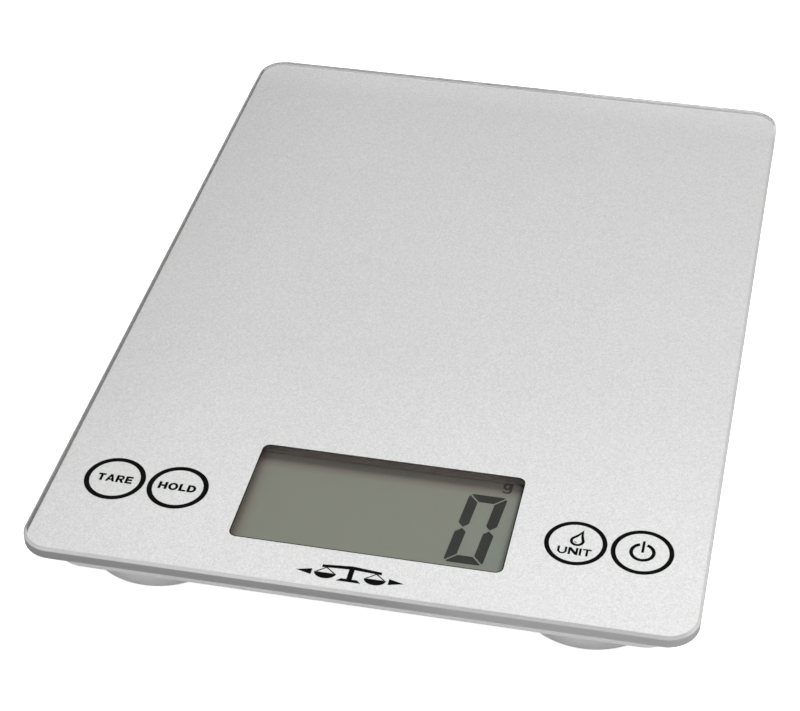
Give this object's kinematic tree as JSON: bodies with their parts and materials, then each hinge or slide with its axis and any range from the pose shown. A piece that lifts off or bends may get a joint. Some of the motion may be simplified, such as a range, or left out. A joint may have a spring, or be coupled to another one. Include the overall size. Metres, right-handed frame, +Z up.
{
  "type": "digital glass scale",
  "caption": "Slim digital counter scale: a silver-backed glass platform with a recessed display and touch keys, on a shallow base with four round sprung feet.",
  "frame": {"origin": "on the surface that the scale stands on, under the middle of the glass platform", "axes": "+Z up out of the platform, +Y away from the user towards the rear edge, +X to the user's right"},
  "size_m": [0.165, 0.232, 0.019],
  "materials": {
    "platform_glass": "clear, polished arris",
    "silver_print": "fine metallic sparkle, screen-printed under the glass",
    "adhesive_tape": "white foam tape",
    "base_plastic": "light grey, fine moulded texture",
    "foot_plastic": "light grey, satin",
    "inner_plastic": "off-white, as moulded",
    "black_plastic": "matte black",
    "foot_rubber": "soft grey rubber",
    "display_film": "grey-green reflective display film",
    "display_glass": "thin clear glass",
    "contact_elastomer": "layered conductive rubber",
    "board_laminate": "green solder resist",
    "chip_epoxy": "black epoxy dome",
    "ceramic_chip": "tan ceramic",
    "flex_film": "amber polyimide film",
    "copper": "etched copper",
    "spring_steel": "zinc-plated steel",
    "nickel_plate": "nickel plate",
    "wire_black": "black insulation",
    "wire_red": "red insulation",
    "wire_white": "white insulation"
  },
  "bodies": {
    "scale": {"glass_platform": "platform_glass", "printed_backing": "silver_print", "bonding_tape": "adhesive_tape", "chassis": "inner_plastic", "bottom_cover": "base_plastic", "cover_screws": "nickel_plate", "board_screws": "nickel_plate", "lcd_polariser": "display_film", "lcd_front_glass": "display_glass", "lcd_rear_glass": "display_glass", "lcd_reflector": "display_film", "lcd_carrier": "black_plastic", "zebra_strip": "contact_elastomer", "main_board": "board_laminate", "controller_chip": "chip_epoxy", "board_capacitors": "ceramic_chip", "clock_crystal": "nickel_plate", "film_connectors": "inner_plastic", "lead_connectors": "inner_plastic", "battery_connector": "inner_plastic", "touch_film_left": "flex_film", "touch_film_right": "flex_film", "touch_electrodes": "copper", "coin_cell_left": "nickel_plate", "coin_cell_right": "nickel_plate", "battery_contact_negative": "nickel_plate", "battery_contact_positive": "nickel_plate", "battery_wire_negative": "wire_black", "battery_wire_positive": "wire_red", "strain_gauges": "flex_film", "load_cell_front_left": "spring_steel", "cell_holder_front_left": "inner_plastic", "load_cell_lead_front_left": "wire_white", "load_cell_front_right": "spring_steel", "cell_holder_front_right": "inner_plastic", "load_cell_lead_front_right": "wire_white", "load_cell_rear_left": "spring_steel", "cell_holder_rear_left": "inner_plastic", "load_cell_lead_rear_left": "wire_white", "load_cell_rear_right": "spring_steel", "cell_holder_rear_right": "inner_plastic", "load_cell_lead_rear_right": "wire_white"},
    "foot_front_left": {"foot_cup_front_left": "foot_plastic", "foot_pad_front_left": "foot_rubber"},
    "foot_front_right": {"foot_cup_front_right": "foot_plastic", "foot_pad_front_right": "foot_rubber"},
    "foot_rear_left": {"foot_cup_rear_left": "foot_plastic", "foot_pad_rear_left": "foot_rubber"},
    "foot_rear_right": {"foot_cup_rear_right": "foot_plastic", "foot_pad_rear_right": "foot_rubber"},
    "battery_door": {"battery_door": "base_plastic"}
  },
  "joints": [
    {"name": "foot_slide_front_left", "type": "slide", "parent": "scale", "child": "foot_front_left", "axis": [0, 0, 1], "range_m": [0, 0.0004], "stiffness_N_per_m": 1000, "springref_m": -0.002, "deforming": ["load_cell_front_left"]},
    {"name": "foot_slide_front_right", "type": "slide", "parent": "scale", "child": "foot_front_right", "axis": [0, 0, 1], "range_m": [0, 0.0004], "stiffness_N_per_m": 1000, "springref_m": -0.002, "deforming": ["load_cell_front_right"]},
    {"name": "foot_slide_rear_left", "type": "slide", "parent": "scale", "child": "foot_rear_left", "axis": [0, 0, 1], "range_m": [0, 0.0004], "stiffness_N_per_m": 1000, "springref_m": -0.002, "deforming": ["load_cell_rear_left"]},
    {"name": "foot_slide_rear_right", "type": "slide", "parent": "scale", "child": "foot_rear_right", "axis": [0, 0, 1], "range_m": [0, 0.0004], "stiffness_N_per_m": 1000, "springref_m": -0.002, "deforming": ["load_cell_rear_right"]},
    {"name": "battery_door_hinge", "type": "hinge", "parent": "scale", "child": "battery_door", "pos_m": [0, 0.0432, 0.0085], "axis": [1, 0, 0], "range_deg": [0, 95]}
  ]
}
